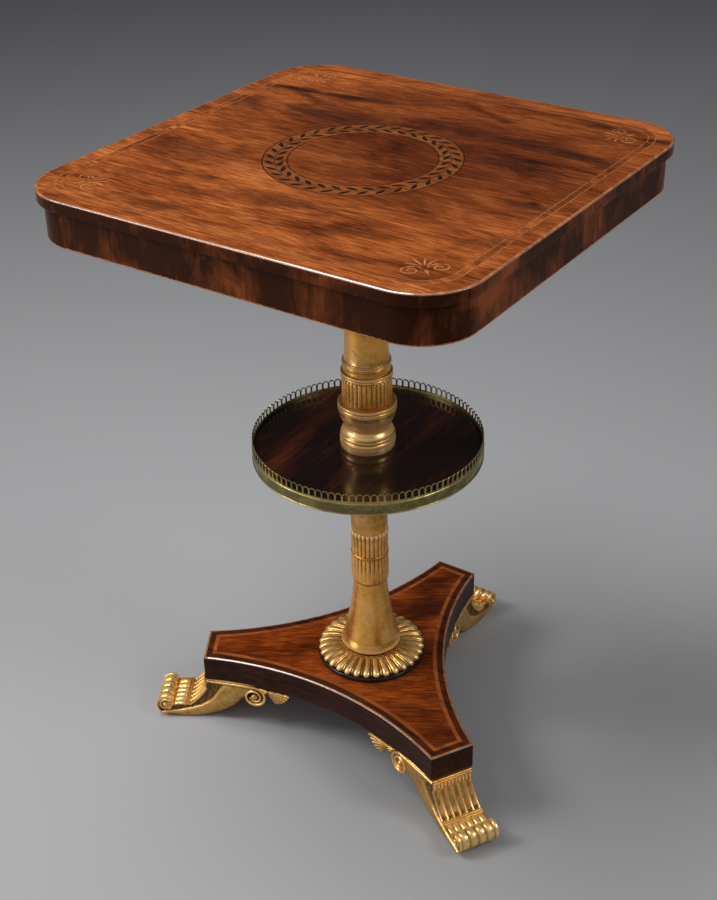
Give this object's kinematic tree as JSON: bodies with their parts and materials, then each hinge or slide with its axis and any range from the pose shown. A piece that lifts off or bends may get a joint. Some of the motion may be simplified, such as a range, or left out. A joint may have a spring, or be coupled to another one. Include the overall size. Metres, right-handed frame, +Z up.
{
  "type": "two-tier occasional table",
  "caption": "Square inlaid table top on a gilt turned column, with a round galleried shelf part way up, a hollow-sided platform base and carved scroll feet.",
  "frame": {"origin": "on the floor, under the middle of the whole table", "axes": "+Z up; X and Y along the sides of the square top, with +Y towards the single back foot"},
  "size_m": [0.508, 0.5296, 0.743],
  "materials": {
    "rosewood": "polished veneer",
    "rosewood_dark": "polished dark veneer",
    "boxwood": "polished inlay",
    "mahogany_ground": "bare wood",
    "gilt": "gilded carved wood",
    "aged_brass": "aged",
    "ebonised": "black polish",
    "iron": "bare"
  },
  "bodies": {
    "root": {"bearer_screw_1": "iron", "bearer_screw_2": "iron", "bearer_screw_3": "iron", "bearer_screw_4": "iron", "column_lower": "gilt", "column_upper": "gilt", "ebonised_plinth": "ebonised", "foot_back": "gilt", "foot_dowel_1": "mahogany_ground", "foot_dowel_2": "mahogany_ground", "foot_dowel_3": "mahogany_ground", "foot_dowel_4": "mahogany_ground", "foot_dowel_5": "mahogany_ground", "foot_dowel_6": "mahogany_ground", "foot_front": "gilt", "foot_left": "gilt", "frieze_corner_1": "mahogany_ground", "frieze_corner_2": "mahogany_ground", "frieze_corner_3": "mahogany_ground", "frieze_corner_4": "mahogany_ground", "frieze_rail_back": "mahogany_ground", "frieze_rail_front": "mahogany_ground", "frieze_rail_left": "mahogany_ground", "frieze_rail_right": "mahogany_ground", "frieze_veneer": "rosewood_dark", "gadroon_collar": "gilt", "gallery_band": "aged_brass", "gallery_fret": "aged_brass", "glue_block_1": "mahogany_ground", "glue_block_2": "mahogany_ground", "glue_block_3": "mahogany_ground", "glue_block_4": "mahogany_ground", "glue_block_5": "mahogany_ground", "glue_block_6": "mahogany_ground", "glue_block_7": "mahogany_ground", "glue_block_8": "mahogany_ground", "platform_core": "mahogany_ground", "platform_crossband": "rosewood", "platform_end_back": "rosewood_dark", "platform_end_front": "rosewood_dark", "platform_end_left": "rosewood_dark", "platform_field": "rosewood", "platform_side_1": "rosewood_dark", "platform_side_2": "rosewood_dark", "platform_side_3": "rosewood_dark", "platform_stringing": "boxwood", "shelf_board": "mahogany_ground", "shelf_veneer": "rosewood_dark", "tenon_wedge": "mahogany_ground", "top_bearer": "mahogany_ground", "top_board": "mahogany_ground", "top_border_band": "rosewood", "top_centre": "rosewood", "top_crossband": "rosewood", "top_field": "rosewood", "top_stringing_inner": "boxwood", "top_stringing_outer": "boxwood", "wreath_band": "boxwood"}
  },
  "joints": []
}
